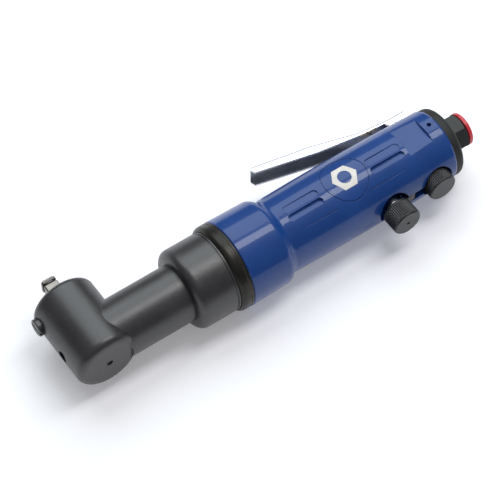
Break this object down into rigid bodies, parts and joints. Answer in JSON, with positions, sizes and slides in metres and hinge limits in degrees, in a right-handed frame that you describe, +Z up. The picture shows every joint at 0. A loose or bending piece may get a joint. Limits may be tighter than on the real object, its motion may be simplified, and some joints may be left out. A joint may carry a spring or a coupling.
{
  "type": "right-angle air wrench",
  "caption": "Right-angle air nut runner with a square drive, bevel-gear head, round grip with a hinged throttle lever, twin direction knobs and a threaded air inlet.",
  "frame": {"origin": "under the middle of the tool's bounding box, on the surface that it lies on", "axes": "+X along the motor axis from the drive towards the air inlet, +Y along the square drive, +Z up with the tool on its side"},
  "size_m": [0.308, 0.093, 0.0594],
  "materials": {
    "black_casting": "black oxide over a fine cast surface",
    "black_ring": "black oxide, turned, with a faint sheen",
    "blue_paint": "glossy blue paint",
    "chrome": "polished chrome plate, lightly brushed",
    "drive_steel": "ground steel, warm grey",
    "dark_steel": "oil-blackened steel",
    "bright_steel": "bright ground steel",
    "cast_liner": "bored and faced iron",
    "bronze": "sintered bronze",
    "brass": "turned brass",
    "black_knob": "black anodised, knurled",
    "inlet_steel": "black oxide",
    "black_rubber": "moulded black rubber",
    "fibre": "pressed fibre",
    "felt": "needle felt",
    "red_plastic": "moulded red plastic"
  },
  "bodies": {
    "housing": {"angle_head": "black_casting", "hammer_case": "black_casting", "end_cap": "black_casting", "front_ring": "black_ring", "motor_housing": "blue_paint", "grease_plug": "dark_steel", "lever_pin": "bright_steel", "front_bearing_outer": "bright_steel", "rear_bearing_outer": "bright_steel", "throttle_spring": "bright_steel", "motor_spacer": "bright_steel", "forward_sleeve": "bright_steel", "reverse_sleeve": "bright_steel", "motor_cylinder": "cast_liner", "front_end_plate": "cast_liner", "rear_end_plate": "cast_liner", "upper_spindle_bushing": "bronze", "lower_spindle_bushing": "bronze", "front_neck_bushing": "bronze", "rear_neck_bushing": "bronze", "anvil_bushing": "bronze", "throttle_bushing": "brass", "rocker_pin": "brass", "inlet_strainer": "brass", "inlet_bushing": "inlet_steel", "exhaust_ring": "black_rubber", "throttle_seal": "black_rubber", "inlet_o_ring": "black_rubber", "rear_gasket": "fibre", "silencer": "felt"},
    "motor": {"rotor": "bright_steel", "vanes": "fibre", "front_bearing_inner": "bright_steel", "rear_bearing_inner": "bright_steel", "hammer_cage": "dark_steel", "front_hammer": "dark_steel", "rear_hammer": "dark_steel", "hammer_pins": "dark_steel"},
    "anvil_train": {"anvil": "dark_steel", "pinion_shaft": "dark_steel"},
    "drive": {"spindle": "drive_steel", "bevel_gear": "dark_steel", "gear_key": "dark_steel", "friction_ring": "dark_steel"},
    "lever": {"throttle_lever": "chrome"},
    "valve": {"throttle_valve": "bright_steel"},
    "forward_button": {"forward_knob": "black_knob"},
    "reverse_button": {"reverse_knob": "black_knob"},
    "rocker": {"knob_rocker": "black_knob"},
    "plug": {"dust_plug": "red_plastic"}
  },
  "joints": [
    {"name": "motor_spin", "type": "hinge", "parent": "housing", "child": "motor", "pos_m": [0.00995, -0.00705, 0.0297], "axis": [1, 0, 0], "continuous": true},
    {"name": "anvil_spin", "type": "hinge", "parent": "housing", "child": "anvil_train", "pos_m": [-0.05005, -0.00705, 0.0297], "axis": [1, 0, 0], "continuous": true},
    {"name": "drive_spin", "type": "hinge", "parent": "housing", "child": "drive", "pos_m": [-0.13005, 0.01795, 0.0297], "axis": [0, 1, 0], "continuous": true},
    {"name": "lever_press", "type": "hinge", "parent": "housing", "child": "lever", "pos_m": [0.11945, 0.01745, 0.0297], "axis": [0, 0, 1], "range_deg": [0, 7.5], "stiffness_Nm_per_rad": 5, "springref_deg": -5.73},
    {"name": "throttle_slide", "type": "slide", "parent": "housing", "child": "valve", "axis": [0, -1, 0], "range_m": [0, 0.0024], "deforming": ["throttle_spring"]},
    {"name": "forward_push", "type": "slide", "parent": "housing", "child": "forward_button", "axis": [0, 1, 0], "range_m": [0, 0.0085]},
    {"name": "reverse_push", "type": "slide", "parent": "housing", "child": "reverse_button", "axis": [0, 1, 0], "range_m": [-0.0085, 0]},
    {"name": "rocker_tilt", "type": "hinge", "parent": "housing", "child": "rocker", "pos_m": [0.0972, -0.02725, 0.0297], "axis": [0, 0, 1], "range_deg": [-63.3, 0]},
    {"name": "dust_plug_pull", "type": "slide", "parent": "housing", "child": "plug", "axis": [1, 0, 0], "range_m": [0, 0.04]}
  ],
  "couplings": [
    {"joint": "anvil_spin", "follows": "motor_spin", "ratio": 1},
    {"joint": "drive_spin", "follows": "motor_spin", "ratio": 0.66667},
    {"joint": "throttle_slide", "follows": "lever_press", "m_per_rad": 0.018},
    {"joint": "reverse_push", "follows": "forward_push", "ratio": -1},
    {"joint": "rocker_tilt", "follows": "forward_push", "rad_per_m": -129.97}
  ]
}
